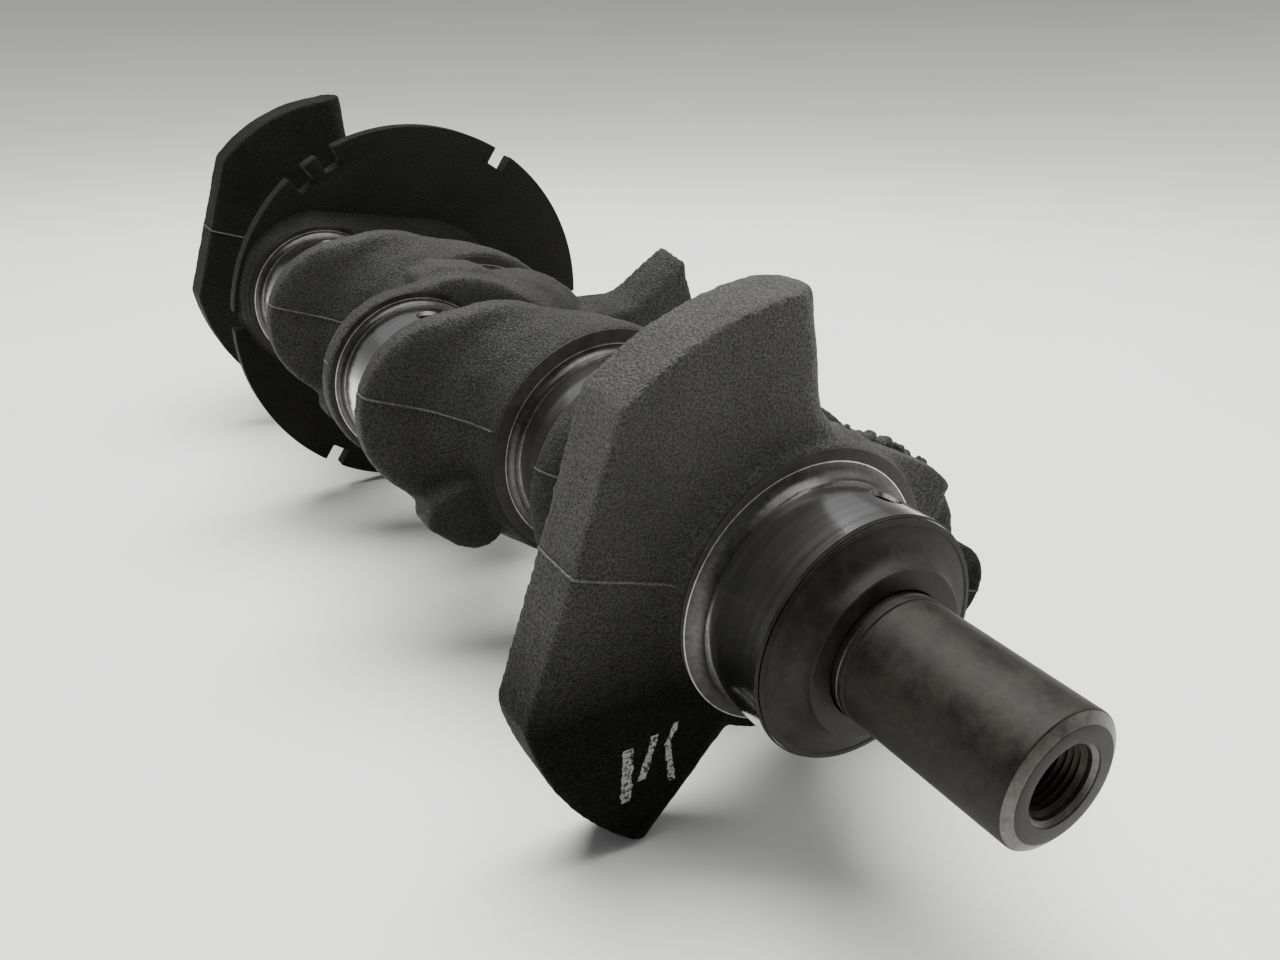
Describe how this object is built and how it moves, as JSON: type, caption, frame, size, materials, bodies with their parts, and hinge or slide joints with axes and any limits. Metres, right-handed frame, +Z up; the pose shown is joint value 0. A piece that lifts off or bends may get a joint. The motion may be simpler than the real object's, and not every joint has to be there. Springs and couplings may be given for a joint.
{
  "type": "crankshaft",
  "caption": "Cast crankshaft of an in-line engine: plain snout, polished journals and throws, fan-shaped counterweights, notched sensor disc and bolted rear flange.",
  "frame": {"origin": "on the ground under the middle of the shaft, the bottom centre of the bounding box", "axes": "+Y along the crank axis from the snout to the flywheel flange, +Z up, +X to the right seen from the snout; throws 1 and 4 point to +X and 19.2 degrees down"},
  "size_m": [0.1517, 0.505, 0.1518],
  "materials": {
    "cast_iron": "rough sand-cast skin, dark grey",
    "ground_steel": "ground and polished journal surface",
    "machined_iron": "turned surface, stained grey-brown"
  },
  "bodies": {
    "root": {"snout": "machined_iron", "front_hub": "machined_iron", "main_journal_1": "ground_steel", "main_journal_2": "ground_steel", "main_journal_3": "ground_steel", "main_journal_4": "ground_steel", "main_journal_5": "ground_steel", "crankpin_1": "ground_steel", "crankpin_2": "ground_steel", "crankpin_3": "ground_steel", "crankpin_4": "ground_steel", "web_1": "cast_iron", "web_2": "cast_iron", "web_3": "cast_iron", "web_4": "cast_iron", "web_5": "cast_iron", "web_6": "cast_iron", "web_7": "cast_iron", "web_8": "cast_iron", "counterweight_1": "cast_iron", "counterweight_4": "cast_iron", "counterweight_5": "cast_iron", "counterweight_8": "cast_iron", "sensor_disc": "cast_iron", "disc_boss": "cast_iron", "rear_collar": "machined_iron", "rear_seal_land": "ground_steel", "flywheel_flange": "machined_iron"}
  },
  "joints": []
}
